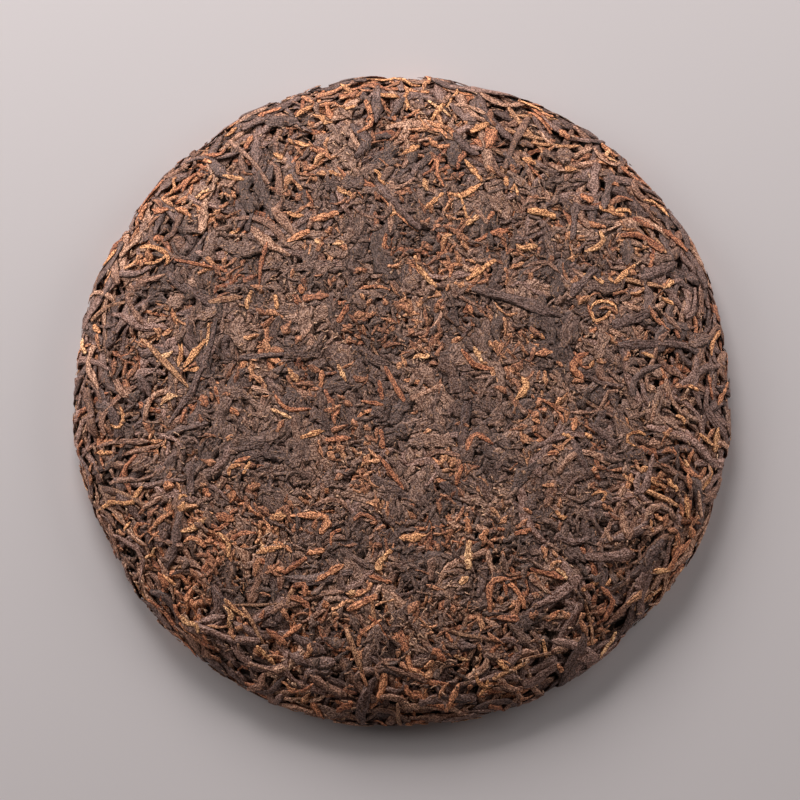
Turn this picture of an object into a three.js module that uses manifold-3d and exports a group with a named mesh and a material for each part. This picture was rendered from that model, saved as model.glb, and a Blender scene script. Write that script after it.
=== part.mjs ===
// A round cake of pressed dark tea, lying on its back with the shown face up.
// Lengths are in millimetres. The origin is at the middle of the underside and +Z is up.
import * as THREE from 'three';
import { mergeVertices } from 'three/addons/utils/BufferGeometryUtils.js';
import { ImprovedNoise } from 'three/addons/math/ImprovedNoise.js';
import Module from 'manifold-3d';

const wasm = await Module();
wasm.setup();

// The bare cake, without the leaves that stand proud of it.
const CAKE_RADIUS = 99.4;
const CENTRE_HEIGHT = 21.4;
const SHOULDER_RADIUS = 0.89 * CAKE_RADIUS;
const SHOULDER_HEIGHT = 0.67 * CENTRE_HEIGHT;
const WIDEST_HEIGHT = 0.27 * CENTRE_HEIGHT;

// The underside: a flat ring that it rests on, a shallow hollow and the dimple of the pressing bag.
const RING_OUTER_RADIUS = 90;
const RING_INNER_RADIUS = 64;
const HOLLOW_RISE = 2.2;
const DIMPLE_RADIUS = 23;
const DIMPLE_DEPTH = 7;

// Steps round the cake, down its front and side, and along its hollow. The front's steps are
// closer together towards the side, where the section turns sharply.
const STEPS_ROUND = 60;
const STEPS_FRONT = 14;
const STEPS_HOLLOW = 8;
const RIM_CROWDING = 1.8;

// The outline is nearly round: it swells and shrinks in a few waves, and has small worn notches.
const OUTLINE_WAVES = [
  { count: 3, depth: 0.25, phase: 0.4 },
  { count: 5, depth: 0.2, phase: 2.1 },
  { count: 11, depth: 0.2, phase: 1.3 },
];
const OUTLINE_NOTCHES = [
  { angle: 210, width: 9, depth: 1.6 },
  { angle: 127, width: 4, depth: 1.1 },
  { angle: 316, width: 7, depth: 1.7 },
  { angle: 348, width: 4, depth: 0.9 },
  { angle: 60, width: 5, depth: 0.8 },
];
const OUTLINE_START = 0.8;

// Low lumps of the pressed leaves.
const LUMP_SIZE = 13;
const LUMP_HEIGHT = 0.5;

// Leaves pressed into the surface, largest first. A strip turns by twice its bend, in radians.
const LEAF_KINDS = [
  { count: 20, steps: 2, length: [10, 14], width: [5, 7], height: [0.6, 0.9], bend: 0.15 },
  { count: 40, steps: 3, length: [20, 28], width: [2.4, 3.2], height: [0.9, 1.4], bend: 0.45 },
  { count: 76, steps: 3, length: [13, 19], width: [2.2, 3.0], height: [0.9, 1.4], bend: 0.65 },
  { count: 60, steps: 2, length: [8, 12], width: [2.0, 2.8], height: [0.8, 1.3], bend: 0.7 },
];
const BACK_SHARE = 0.16;
const LEAF_SIDES = 4;
const LEAF_END = 0.4;
const LEAF_TOP = 0.65;
const LEAF_ROOT = 0.9;
const CANDIDATES = 14;
const LOWEST_LEAF = 0.3;
const SEED = 357;
const SAME_PLACE = 1e-4;
const JOIN_TOLERANCE = 0.03;

const random = () => THREE.MathUtils.seededRandom();
const between = ([low, high]) => low + (high - low) * random();
const noise = new ImprovedNoise();

// Half of the cake's section: down the front and side, then in along the hollow underside.
const frontCurve = new THREE.SplineCurve([
  new THREE.Vector2(0, CENTRE_HEIGHT),
  new THREE.Vector2(0.45 * CAKE_RADIUS, 0.965 * CENTRE_HEIGHT),
  new THREE.Vector2(0.72 * CAKE_RADIUS, 0.86 * CENTRE_HEIGHT),
  new THREE.Vector2(SHOULDER_RADIUS, SHOULDER_HEIGHT),
  new THREE.Vector2(0.972 * CAKE_RADIUS, 0.46 * CENTRE_HEIGHT),
  new THREE.Vector2(CAKE_RADIUS, WIDEST_HEIGHT),
  new THREE.Vector2(0.966 * CAKE_RADIUS, 0.06 * CENTRE_HEIGHT),
  new THREE.Vector2(RING_OUTER_RADIUS, 0),
]);
const hollowCurve = new THREE.SplineCurve([
  new THREE.Vector2(RING_INNER_RADIUS, 0),
  new THREE.Vector2(0.84 * RING_INNER_RADIUS, 0.9 * HOLLOW_RISE),
  new THREE.Vector2(1.35 * DIMPLE_RADIUS, 1.15 * HOLLOW_RISE),
  new THREE.Vector2(0.8 * DIMPLE_RADIUS, 0.55 * DIMPLE_DEPTH),
  new THREE.Vector2(0.4 * DIMPLE_RADIUS, 0.95 * DIMPLE_DEPTH),
  new THREE.Vector2(0, DIMPLE_DEPTH),
]);
const frontLength = frontCurve.getLength();
const hollowLength = hollowCurve.getLength();

// How far the outline stands out from a true circle in one direction.
function outlineOffset(angle) {
  let offset = 0;
  for (const wave of OUTLINE_WAVES) {
    offset += wave.depth * Math.cos(wave.count * angle + wave.phase);
  }
  for (const notch of OUTLINE_NOTCHES) {
    const away = angle - THREE.MathUtils.degToRad(notch.angle);
    const turn = THREE.MathUtils.radToDeg(Math.atan2(Math.sin(away), Math.cos(away)));
    offset -= notch.depth * Math.exp(-((turn / notch.width) ** 2));
  }
  return offset;
}

// Shapes a point of the round cake into the uneven one. The flat ring stays flat.
function shaped(point, outward) {
  const radius = Math.hypot(point.x, point.y);
  const share = THREE.MathUtils.smoothstep(radius / CAKE_RADIUS, OUTLINE_START, 1);
  const stretch = 1 + (share * outlineOffset(Math.atan2(point.y, point.x))) / CAKE_RADIUS;
  const lump = noise.noise(point.x / LUMP_SIZE, point.y / LUMP_SIZE, point.z / LUMP_SIZE);
  const lifted = THREE.MathUtils.smoothstep(point.z, 0, HOLLOW_RISE) * lump * LUMP_HEIGHT;
  const moved = point.clone().addScaledVector(outward, lifted);
  moved.x *= stretch;
  moved.y *= stretch;
  return moved;
}

// The place and the outward direction at a distance along the front, or along the underside
// from its middle, in one direction round the cake.
function surfaceAt(onBack, distance, angle) {
  const curve = onBack ? hollowCurve : frontCurve;
  const whole = onBack ? hollowLength : frontLength;
  const share = THREE.MathUtils.clamp(distance / whole, 0, 1);
  const along = onBack ? 1 - share : share;
  const place = curve.getPointAt(along);
  const tangent = curve.getTangentAt(along);
  const point = new THREE.Vector3(place.x * Math.cos(angle), place.x * Math.sin(angle), place.y);
  const normal = new THREE.Vector3(-tangent.y * Math.cos(angle), -tangent.y * Math.sin(angle), tangent.x);
  return { point: shaped(point, normal), normal };
}

function positionsOnly(geometry) {
  geometry.deleteAttribute('normal');
  geometry.deleteAttribute('uv');
  return mergeVertices(geometry, SAME_PLACE);
}

// A closed mesh becomes a solid. A triangle with two corners in one place is dropped.
function solidFrom(geometry) {
  const corners = geometry.index.array;
  const kept = [];
  for (let i = 0; i < corners.length; i += 3) {
    const [a, b, c] = [corners[i], corners[i + 1], corners[i + 2]];
    if (a !== b && b !== c && c !== a) {
      kept.push(a, b, c);
    }
  }
  const mesh = new wasm.Mesh({
    numProp: 3,
    vertProperties: new Float32Array(geometry.attributes.position.array),
    triVerts: new Uint32Array(kept),
    tolerance: JOIN_TOLERANCE,
  });
  return new wasm.Manifold(mesh);
}

// The pressed body that carries the leaves.
function makeCore() {
  const section = hollowCurve.getSpacedPoints(STEPS_HOLLOW).reverse();
  for (let step = 0; step <= STEPS_FRONT; step += 1) {
    const share = (step / STEPS_FRONT) ** RIM_CROWDING;
    section.push(frontCurve.getPointAt(1 - share));
  }
  section[0].x = 0;
  section[section.length - 1].x = 0;
  const lathe = new THREE.LatheGeometry(section, STEPS_ROUND);
  lathe.rotateX(Math.PI / 2);
  const normals = lathe.attributes.normal.clone();
  const places = lathe.attributes.position;
  for (let i = 0; i < places.count; i += 1) {
    const point = new THREE.Vector3().fromBufferAttribute(places, i);
    const normal = new THREE.Vector3().fromBufferAttribute(normals, i);
    const onAxis = Math.hypot(point.x, point.y) < SAME_PLACE;
    const moved = onAxis ? point : shaped(point, normal);
    places.setXYZ(i, moved.x, moved.y, Math.max(moved.z, 0));
  }
  return solidFrom(positionsOnly(lathe));
}

// One leaf as a bent strip with four sides, a narrower top and narrow ends, laid along the
// surface and rooted in it.
function makeLeaf(kind, onBack, distance, angle) {
  const length = between(kind.length);
  const width = between(kind.width);
  const height = between(kind.height);
  const bend = kind.bend * (2 * random() - 1);
  const heading = Math.PI * 2 * random();
  const middle = new THREE.Vector2(distance * Math.cos(angle), distance * Math.sin(angle));
  const turnToFlat = Math.PI / LEAF_SIDES;
  const strip = positionsOnly(
    new THREE.CylinderGeometry(Math.SQRT1_2, Math.SQRT1_2, 1, LEAF_SIDES, kind.steps, false, turnToFlat),
  );
  const places = strip.attributes.position;
  for (let i = 0; i < places.count; i += 1) {
    const along = places.getY(i);
    const isTop = places.getZ(i) > 0;
    const taper = 1 - (1 - LEAF_END) * (2 * along) ** 2;
    const turned = heading + bend * along;
    const side = places.getX(i) * width * taper * (isTop ? LEAF_TOP : 1);
    const across = onBack ? -side : side;
    const up = isTop ? height * taper : -LEAF_ROOT;
    const spot = new THREE.Vector2(along * length * Math.cos(turned), along * length * Math.sin(turned));
    spot.x += across * Math.sin(turned + bend * along);
    spot.y -= across * Math.cos(turned + bend * along);
    spot.add(middle);
    const under = surfaceAt(onBack, spot.length(), spot.angle());
    const place = under.point.addScaledVector(under.normal, up);
    if (place.z < LOWEST_LEAF) {
      return null;
    }
    places.setXYZ(i, place.x, place.y, place.z);
  }
  return strip;
}

// A spot for the next leaf: of a few drawn at random, the one farthest from the leaves laid so far.
function nextSpot(onBack, laid) {
  const reach = onBack ? hollowLength : frontLength;
  let best = null;
  let bestGap = -1;
  for (let tries = 0; tries < CANDIDATES; tries += 1) {
    const distance = reach * Math.sqrt(random());
    const angle = Math.PI * 2 * random();
    const { point } = surfaceAt(onBack, distance, angle);
    const gap = Math.min(...laid.map((other) => other.distanceTo(point)), 2 * CAKE_RADIUS);
    if (gap > bestGap) {
      bestGap = gap;
      best = { distance, angle, point };
    }
  }
  return best;
}

function makeLeaves() {
  const leaves = [];
  const laid = [];
  for (const kind of LEAF_KINDS) {
    for (let made = 0; made < kind.count; made += 1) {
      const onBack = made < BACK_SHARE * kind.count;
      const spot = nextSpot(onBack, laid);
      const leaf = makeLeaf(kind, onBack, spot.distance, spot.angle);
      if (leaf) {
        laid.push(spot.point);
        leaves.push(solidFrom(leaf));
      }
    }
  }
  return leaves;
}

THREE.MathUtils.seededRandom(SEED);
const joined = wasm.Manifold.union([makeCore(), ...makeLeaves()]).getMesh();
const cakeGeometry = new THREE.BufferGeometry();
cakeGeometry.setAttribute('position', new THREE.BufferAttribute(joined.vertProperties, joined.numProp));
cakeGeometry.setIndex(new THREE.BufferAttribute(joined.triVerts, 1));

const teaCake = new THREE.Mesh(
  cakeGeometry,
  new THREE.MeshStandardMaterial({ color: 0x4d382c, roughness: 0.82, metalness: 0 }),
);
teaCake.name = 'tea_cake';

const part = new THREE.Group();
part.add(teaCake);

export default part;
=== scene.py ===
"""Looks of a round cake of pressed dark tea, which lies on its back with the shown face up.

The cake is a dark core under a pile of leaves, stalks and crumbs. Each leaf is laid on what already
lies there, and the whole pile is then pressed, so leaves pass over each other and leave dark gaps.
Lengths are in millimetres until a mesh is made, which is in metres.
"""
import math
from dataclasses import dataclass

import bpy
import numpy as np
from bpy.props import FloatProperty, FloatVectorProperty, IntProperty, PointerProperty
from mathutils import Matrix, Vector, noise


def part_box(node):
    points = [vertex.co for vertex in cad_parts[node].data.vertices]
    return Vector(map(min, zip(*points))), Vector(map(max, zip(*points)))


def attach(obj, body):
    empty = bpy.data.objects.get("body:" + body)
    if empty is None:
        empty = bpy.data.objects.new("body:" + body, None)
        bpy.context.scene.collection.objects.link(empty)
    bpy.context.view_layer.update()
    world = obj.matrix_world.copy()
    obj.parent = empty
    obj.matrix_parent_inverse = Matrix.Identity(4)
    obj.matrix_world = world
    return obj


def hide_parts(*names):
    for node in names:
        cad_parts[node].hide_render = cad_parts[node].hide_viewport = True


bl_info = {
    "name": "Pressed tea cake",
    "version": (1, 0, 0),
    "blender": (4, 5, 0),
    "location": "View3D > Sidebar > Tea cake",
    "description": "Builds a round cake of pressed dark tea, leaf by leaf",
    "category": "Add Mesh",
}

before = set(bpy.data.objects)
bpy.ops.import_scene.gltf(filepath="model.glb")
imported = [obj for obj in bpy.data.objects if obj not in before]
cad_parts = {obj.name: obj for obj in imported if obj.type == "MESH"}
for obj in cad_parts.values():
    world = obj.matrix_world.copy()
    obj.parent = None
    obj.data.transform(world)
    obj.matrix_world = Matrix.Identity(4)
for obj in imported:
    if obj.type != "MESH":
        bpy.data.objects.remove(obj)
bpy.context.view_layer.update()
NODE = "tea_cake"
BODY = "root"
MM = 0.001
BOX_LOW, BOX_HIGH = (np.array(corner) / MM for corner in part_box(NODE))
SEED = 357

# The cake's section. The face's points are ratios of the radius and the height.
CAKE_RADIUS = 99.4
CENTRE_HEIGHT = 21.4
FACE_POINTS = ((0, 1), (0.45, 0.965), (0.72, 0.86), (0.89, 0.67), (0.972, 0.46), (1, 0.27), (0.966, 0.06))
RING_OUTER_RADIUS = 90.0
RING_INNER_RADIUS = 64.0
HOLLOW_RISE = 2.2
DIMPLE_RADIUS = 23.0
DIMPLE_DEPTH = 7.0
BACK_POINTS = (
    (RING_INNER_RADIUS, 0),
    (0.84 * RING_INNER_RADIUS, 0.9 * HOLLOW_RISE),
    (1.35 * DIMPLE_RADIUS, 1.15 * HOLLOW_RISE),
    (0.8 * DIMPLE_RADIUS, 0.55 * DIMPLE_DEPTH),
    (0.4 * DIMPLE_RADIUS, 0.95 * DIMPLE_DEPTH),
    (0, DIMPLE_DEPTH),
)
SECTION_STEP = 0.25
SECTION_CURVE_STEPS = 60
LINE_CURVE_STEPS = 20
TINY = 1e-9

# The outline's waves (count, depth, phase), and its worn notches and a bulge (angle, width, depth).
OUTLINE_WAVES = ((3, 0.25, 0.4), (5, 0.2, 2.1), (11, 0.2, 1.3))
OUTLINE_NOTCHES = ((210, 9, 1.0), (127, 4, 0.6), (316, 7, 1.2), (348, 4, 0.5), (270, 12, 0.4), (38, 20, -1.2))
OUTLINE_START = 0.8

# The pile's map, and the lumps of the bed that it starts from.
MAP_STEP = 0.4
MAP_MARGIN = 8
COARSE_CELLS = 5
BED_LUMP = 0.9
BED_LUMP_SIZE = 9.0
WARM_PATCH = 15.0
LUMP_LEVEL = 0.3
BACK_SHIFT = 40.0
BACK_OVERLAP = 10.0

# How near to the CAD part's box the leaves come, and from where on they are softly pushed back.
BOX_GAP = 0.02
SOFT_EDGE = 0.5

# How the pile is pressed: the share of the pile that lies lower, and how far out of the cake's skin
# that height ends up in the face's middle, at the rim, in the back's hollow and on its flat ring.
PRESS_SHARES = (0, 1, 10, 50, 90, 99.9)
PRESSED_MIDDLE = (-2.2, -0.6, -0.18, 0.0, 0.06, 0.16)
PRESSED_RIM = (-2.7, -1.8, -0.65, 0.32, 0.75, 1.05)
PRESSED_HOLLOW = (-3.2, -2.5, -1.2, -0.2, 0.1, 0.45)
PRESSED_RING = (-3.2, -2.4, -1.2, -0.5, -0.15, -0.05)
PRESSED_TIP = 0.15
TIP_RISE = 3.0
MIDDLE_END = 66.0
RIM_START = 92.0
RIM_END_MARGIN = 6.0
HOLLOW_END = 58.0
RING_START = 68.0


def spline(points, steps):
    """Points along a smooth curve through the given ones."""
    given = np.array(points, float)
    ends = np.vstack([given[:1], given, given[-1:]])
    out = []
    for before, start, stop, after in zip(ends, ends[1:], ends[2:], ends[3:]):
        t = np.linspace(0, 1, steps, endpoint=False)[:, None]
        pull_in = (stop - before) / 2
        pull_out = (after - start) / 2
        cubic = (2 * start - 2 * stop + pull_in + pull_out) * t**3
        square = (3 * stop - 3 * start - 2 * pull_in - pull_out) * t**2
        out.append(cubic + square + pull_in * t + start)
    return np.vstack(out + [given[-1:]])


def along_line(points, count):
    """Evenly spaced points along a smooth curve through the given ones."""
    curve = spline(points, LINE_CURVE_STEPS)
    run = np.append(0, np.cumsum(np.hypot(*np.diff(curve, axis=0).T)))
    spots = np.linspace(0, run[-1], count)
    return np.stack([np.interp(spots, run, curve[:, 0]), np.interp(spots, run, curve[:, 1])], axis=-1)


def smoothstep(value, low, high):
    """0 under low, 1 over high, and a soft rise between them."""
    share = ((value - low) / (high - low)).clip(0, 1)
    return share * share * (3 - 2 * share)


def soft_excess(past):
    """How far places that are past the soft edge's start are pushed back."""
    past = past.clip(0)
    return past - SOFT_EDGE * (1 - np.exp(-past / SOFT_EDGE))


def kept_in_box(places):
    """Places pushed back softly where they come near the sides of the CAD part's box."""
    high = BOX_HIGH - BOX_GAP - SOFT_EDGE
    low = BOX_LOW + BOX_GAP + SOFT_EDGE
    return places - soft_excess(places - high) + soft_excess(low - places)


class Section:
    """Half of the cake's section: radius, height and outward direction by distance along the skin,
    from the middle of the face to the middle of the back."""

    def __init__(self):
        face = [(r * CAKE_RADIUS, z * CENTRE_HEIGHT) for r, z in FACE_POINTS]
        face.append((RING_OUTER_RADIUS, 0))
        face_curve = spline(face, SECTION_CURVE_STEPS)
        curve = np.vstack([face_curve, spline(BACK_POINTS, SECTION_CURVE_STEPS)])
        run = np.append(0, np.cumsum(np.hypot(*np.diff(curve, axis=0).T)))
        self.length = run[-1]
        self.ring_at = run[len(face_curve) - 1]
        self.distance = np.arange(0, self.length + SECTION_STEP, SECTION_STEP).clip(0, self.length)
        self.radius = np.interp(self.distance, run, curve[:, 0])
        self.height = np.interp(self.distance, run, curve[:, 1]).clip(0)
        slope_r = np.gradient(self.radius)
        slope_z = np.gradient(self.height)
        size = np.hypot(slope_r, slope_z).clip(TINY)
        self.out_r = -slope_z / size
        self.out_z = slope_r / size

    def at(self, distance):
        """Radius, height and outward direction at distances along the skin."""
        columns = (self.radius, self.height, self.out_r, self.out_z)
        return [np.interp(distance, self.distance, column) for column in columns]

    def on_face(self, radius):
        """Distance along the skin of a point on the face."""
        widest = np.argmax(self.radius)
        return np.interp(radius, self.radius[:widest], self.distance[:widest])


def outline_offset(angle):
    """How far the outline stands out from a true circle in each direction."""
    offset = sum(depth * np.cos(count * angle + phase) for count, depth, phase in OUTLINE_WAVES)
    for notch, width, depth in OUTLINE_NOTCHES:
        away = angle - math.radians(notch)
        turn = np.degrees(np.arctan2(np.sin(away), np.cos(away)))
        offset -= depth * np.exp(-((turn / width) ** 2))
    return offset


def on_skin(section, along, angle, lift):
    """Places in the cake's frame, lifted off the skin, for distances along it and angles round it."""
    radius, height, out_r, out_z = section.at(along)
    radius = radius + lift * out_r
    height = height + lift * out_z
    share = smoothstep(radius / CAKE_RADIUS, OUTLINE_START, 1)
    radius = radius + share * outline_offset(angle)
    return np.stack([radius * np.cos(angle), radius * np.sin(angle), height], axis=-1)


class Side:
    """The face with its rim, or the back, unrolled to a flat map. A point's distance from the map's
    middle is its distance along the skin. The pile is the height of what lies on the core so far."""

    def __init__(self, section, on_back):
        self.section = section
        self.on_back = on_back
        self.reach = section.length - section.ring_at + BACK_OVERLAP if on_back else section.ring_at
        self.half = int(self.reach / MAP_STEP) + MAP_MARGIN
        ticks = (np.arange(2 * self.half + 1) - self.half) * MAP_STEP
        self.far = np.hypot(ticks[:, None], ticks[None])
        self.pile = BED_LUMP * (0.5 + self.lumps(ticks, BED_LUMP_SIZE))
        self.warmth = self.lumps(ticks, WARM_PATCH)
        self.spots = np.arange(0, self.reach, SECTION_STEP)
        weight = np.interp(self.along(self.spots), section.distance, section.radius)
        self.area_share = np.cumsum(weight) / weight.sum()

    def lumps(self, ticks, size):
        """A map of soft lumps of a size, worked out coarsely and smoothed."""
        coarse = ticks[::COARSE_CELLS] / size
        shift = BACK_SHIFT if self.on_back else 0.0
        rough = np.array([[noise.noise(Vector((x + shift, y, LUMP_LEVEL))) for x in coarse] for y in coarse])
        fine = ticks / size
        rows = np.array([np.interp(fine, coarse, row) for row in rough])
        columns = np.array([np.interp(fine, coarse, column) for column in rows.T])
        return columns.T

    def along(self, distance):
        """Distance along the section for distances from the map's middle."""
        return self.section.length - distance if self.on_back else distance

    def cell(self, flat):
        """Row and column of the pile's map for map points."""
        index = np.rint(flat / MAP_STEP).astype(int) + self.half
        index = index.clip(0, 2 * self.half)
        return index[..., 1], index[..., 0]

    def flat_place(self, x, y):
        """The map point of a place on the face."""
        radius = max(math.hypot(x, y), SECTION_STEP)
        return np.array([x, y]) * self.section.on_face(radius) / radius

    def squeeze(self, distance):
        """How far the map is stretched round the cake at distances from its middle."""
        radius = np.interp(self.along(distance), self.section.distance, self.section.radius)
        return distance / max(radius, 1.0)

    def settle(self):
        """Works out how the finished pile is pressed, in its inner and in its outer zone."""
        edge, start = (HOLLOW_END, RING_START) if self.on_back else (MIDDLE_END, RIM_START)
        last = self.section.length - self.section.ring_at if self.on_back else self.reach - RIM_END_MARGIN
        self.zone_edges = (edge, start)
        inner = self.pile[self.far < edge]
        outer = self.pile[(self.far > start) & (self.far < last)]
        rise = (PRESSED_HOLLOW, PRESSED_RING) if self.on_back else (PRESSED_MIDDLE, PRESSED_RIM)
        self.zones = []
        for heights, pressed in zip((inner, outer), rise):
            before = np.percentile(heights, PRESS_SHARES)
            before = np.append(before, before[-1] + TIP_RISE)
            self.zones.append((before, np.append(pressed, pressed[-1] + PRESSED_TIP)))

    def place(self, flat, height):
        """Places in the cake's frame for map points at heights in the pile, as they are pressed."""
        distance = np.hypot(flat[..., 0], flat[..., 1])
        angle = np.arctan2(flat[..., 1], flat[..., 0])
        inner, outer = (np.interp(height, *zone) for zone in self.zones)
        share = smoothstep(distance, *self.zone_edges)
        lift = inner * (1 - share) + outer * share
        return kept_in_box(on_skin(self.section, self.along(distance), angle, lift))


@dataclass(frozen=True)
class Form:
    """How the leaves of a kind are shaped and where they lie. Angles are in radians."""

    # Thickness as a share of the width, points round the leaf and along it, share that lies on the back.
    flatness: float
    sides: int
    rings: int
    on_back: float
    # How much the leaf turns to one side and from side to side.
    bend: float = 0.55
    sway: float = 0.35
    # Width of the ends as a share of the full width, and how late the leaf narrows to it.
    end: float = 0.75
    taper: float = 4.0
    # How far the section is from an oval, and how ragged it is.
    lobes: float = 0.2
    rough_edge: float = 0.1
    # Where it lies: how much more in the middle of its side, in which layer, the lowest of how many
    # chances, how far it sinks in, and whether it seeks the warm patches of its side or shuns them.
    likes_middle: float = 0.0
    layer: int = 1
    chances: int = 4
    sink: float = 0.35
    gathers: float = 0.0
    # Whether its flanks get painted shade and its crest a painted highlight.
    paints_flank_shade: bool = True


@dataclass(frozen=True)
class Kind:
    """One kind of leaf with all its sizes, in millimetres."""

    name: str
    form: Form
    count: int
    length: tuple
    width: tuple


@dataclass(frozen=True)
class Leaf:
    """One laid leaf. Its line and its direction across are on the map, and its rise is in the pile."""

    on_back: bool
    length: float
    width: float
    thickness: float
    line: np.ndarray
    across: np.ndarray
    rise: np.ndarray
    tilt: float
    tone: float


# The camera, and how the photo's pixels lie in front of it.
CAMERA_ELEVATION = math.radians(82)
CAMERA_DISTANCE = 950.0
FRAME_WIDTH = 241.4
AIM_HEIGHT = 0.5 * CENTRE_HEIGHT
PHOTO_SIZE = 800
CENTRE_IN_PHOTO = (401.5, 395.5)
PHOTO_STEPS = 3


def from_photo(section, column, row):
    """The place on the face that the photo shows at a pixel, found in a few steps from a first guess."""
    scale = FRAME_WIDTH / PHOTO_SIZE
    right = (column - CENTRE_IN_PHOTO[0]) * scale
    up = (CENTRE_IN_PHOTO[1] - row) * scale
    x = right
    y = up
    for _ in range(PHOTO_STEPS):
        z = section.at(section.on_face(math.hypot(x, y)))[1] - AIM_HEIGHT
        nearness = (z * math.sin(CAMERA_ELEVATION) - y * math.cos(CAMERA_ELEVATION)) / CAMERA_DISTANCE
        x = right * (1 - nearness)
        y = (up * (1 - nearness) - z * math.cos(CAMERA_ELEVATION)) / math.sin(CAMERA_ELEVATION)
    return x, y


# Leaves that stand out in the photo, read from it: width in millimetres, tone from dark to light,
# and the photo pixels that the leaf's middle line passes through.
SEEN_SINK = 0.55
SEEN_WIDENING = 1.15
SEEN_STALKS = (
    (1.7, 0.9, (144, 340), (188, 387)),
    (1.5, 0.4, (92, 321), (106, 307), (125, 302)),
    (1.8, 0.4, (209, 302), (242, 297)),
    (1.5, 0.5, (346, 628), (362, 672)),
)
SEEN_GOLDEN = (
    (1.9, 0.4, (205, 340), (184, 367)),
    (1.5, 0.3, (139, 247), (155, 248), (168, 255), (167, 264)),
    (1.2, 0.6, (120, 406), (124, 418), (119, 428), (112, 425)),
    (0.9, 1.0, (209, 323), (207, 349)),
    (1.4, 0.6, (218, 533), (228, 542), (228, 557)),
    (1.8, 0.2, (257, 553), (281, 547)),
    (1.5, 0.7, (376, 566), (391, 550)),
    (2.4, 0.6, (376, 567), (382, 569)),
    (1.4, 0.6, (257, 646), (275, 665)),
    (1.4, 0.3, (225, 599), (236, 610), (249, 618)),
    (1.9, 0.7, (349, 592), (355, 593)),
    (2.1, 1.0, (469, 541), (468, 569)),
    (1.8, 0.9, (468, 577), (460, 584)),
    (2.1, 0.2, (400, 538), (414, 538), (425, 535)),
    (1.2, 0.4, (543, 640), (547, 659)),
    (1.5, 0.5, (498, 661), (508, 670)),
    (1.5, 0.5, (415, 256), (420, 269), (436, 287)),
    (1.8, 0.2, (467, 279), (495, 260)),
    (1.5, 0.6, (516, 244), (524, 249), (534, 246)),
    (1.5, 0.9, (474, 347), (482, 362)),
    (1.8, 0.6, (522, 377), (526, 387), (516, 399)),
    (1.4, 0.7, (338, 365), (346, 381)),
    (1.5, 0.5, (288, 368), (298, 382)),
    (1.4, 0.2, (301, 438), (324, 430)),
    (2.7, 0.3, (271, 518), (285, 516)),
    (1.5, 0.2, (277, 309), (275, 295)),
    (1.5, 1.0, (333, 244), (344, 242)),
    (1.5, 1.0, (315, 240), (320, 243)),
    (1.2, 0.9, (271, 409), (291, 418)),
    (2.1, 0.4, (528, 211), (542, 212), (555, 217)),
    (1.2, 0.5, (642, 202), (655, 204), (666, 219)),
    (1.5, 0.7, (600, 232), (603, 241), (596, 248), (585, 251)),
    (1.8, 0.4, (615, 283), (635, 265)),
    (1.8, 0.7, (665, 288), (672, 282)),
    (1.8, 0.5, (520, 248), (537, 246)),
    (1.8, 0.2, (565, 170), (575, 170)),
    (2.1, 0.1, (523, 159), (535, 164)),
    (2.0, 0.7, (716, 428), (714, 452)),
    (1.5, 0.5, (676, 416), (682, 418), (684, 424)),
    (1.6, 0.2, (465, 160), (474, 171), (482, 181)),
    (1.6, 0.1, (481, 184), (463, 195), (449, 193)),
    (1.1, 0.4, (461, 197), (467, 218)),
    (1.6, 0.6, (466, 225), (479, 216)),
    (1.9, 0.2, (471, 132), (488, 124)),
    (1.6, 0.1, (402, 154), (419, 146)),
    (1.6, 0.8, (424, 179), (427, 190)),
    (1.4, 0.1, (426, 208), (443, 193)),
    (1.5, 0.4, (432, 119), (444, 103)),
    (1.4, 0.2, (506, 177), (507, 186)),
    (1.2, 0.4, (511, 192), (515, 185), (518, 195)),
    (1.3, 0.1, (442, 249), (445, 237), (452, 235)),
    (1.2, 0.6, (390, 216), (396, 212)),
    (1.1, 0.4, (591, 309), (595, 303), (605, 301), (614, 305), (617, 311)),
    (1.1, 0.4, (592, 312), (595, 321), (606, 317), (610, 311)),
    (1.3, 0.3, (661, 298), (673, 305)),
    (1.4, 0.1, (719, 331), (712, 344), (711, 356)),
    (1.2, 0.2, (590, 367), (594, 361)),
    (1.0, 0.2, (650, 437), (636, 432), (627, 437), (629, 443), (638, 447)),
    (1.2, 0.3, (698, 434), (710, 444), (719, 447)),
    (1.2, 0.4, (728, 432), (727, 446)),
    (1.4, 0.2, (585, 433), (592, 438)),
    (1.2, 0.3, (562, 434), (571, 437)),
    (1.2, 0.6, (685, 460), (688, 467)),
    (1.3, 0.3, (707, 465), (710, 474), (701, 489)),
    (1.3, 0.4, (688, 386), (697, 391)),
    (1.3, 0.5, (223, 176), (244, 180)),
    (1.5, 0.4, (274, 154), (282, 158)),
    (1.5, 0.6, (341, 86), (352, 94)),
    (1.2, 0.2, (345, 110), (355, 107)),
    (1.2, 0.2, (329, 171), (337, 175)),
    (1.2, 0.1, (592, 496), (597, 492), (604, 492), (606, 496), (602, 501)),
    (2.0, 0.2, (652, 478), (659, 486)),
    (1.6, 0.4, (642, 471), (647, 467)),
    (1.8, 0.7, (653, 571), (668, 570)),
    (1.3, 0.3, (685, 495), (687, 518)),
    (1.3, 0.4, (97, 511), (113, 502), (119, 504), (132, 503), (137, 495), (142, 487)),
    (2.0, 0.4, (180, 511), (184, 502)),
    (0.8, 0.3, (179, 500), (182, 495), (187, 497)),
    (1.3, 0.2, (229, 476), (230, 468), (240, 465)),
    (1.2, 0.2, (243, 474), (250, 462)),
    (1.3, 0.2, (97, 453), (114, 453)),
    (1.2, 0.1, (160, 574), (176, 585)),
    (1.0, 0.3, (128, 523), (122, 532)),
    (1.2, 0.2, (147, 556), (153, 558)),
)
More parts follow.
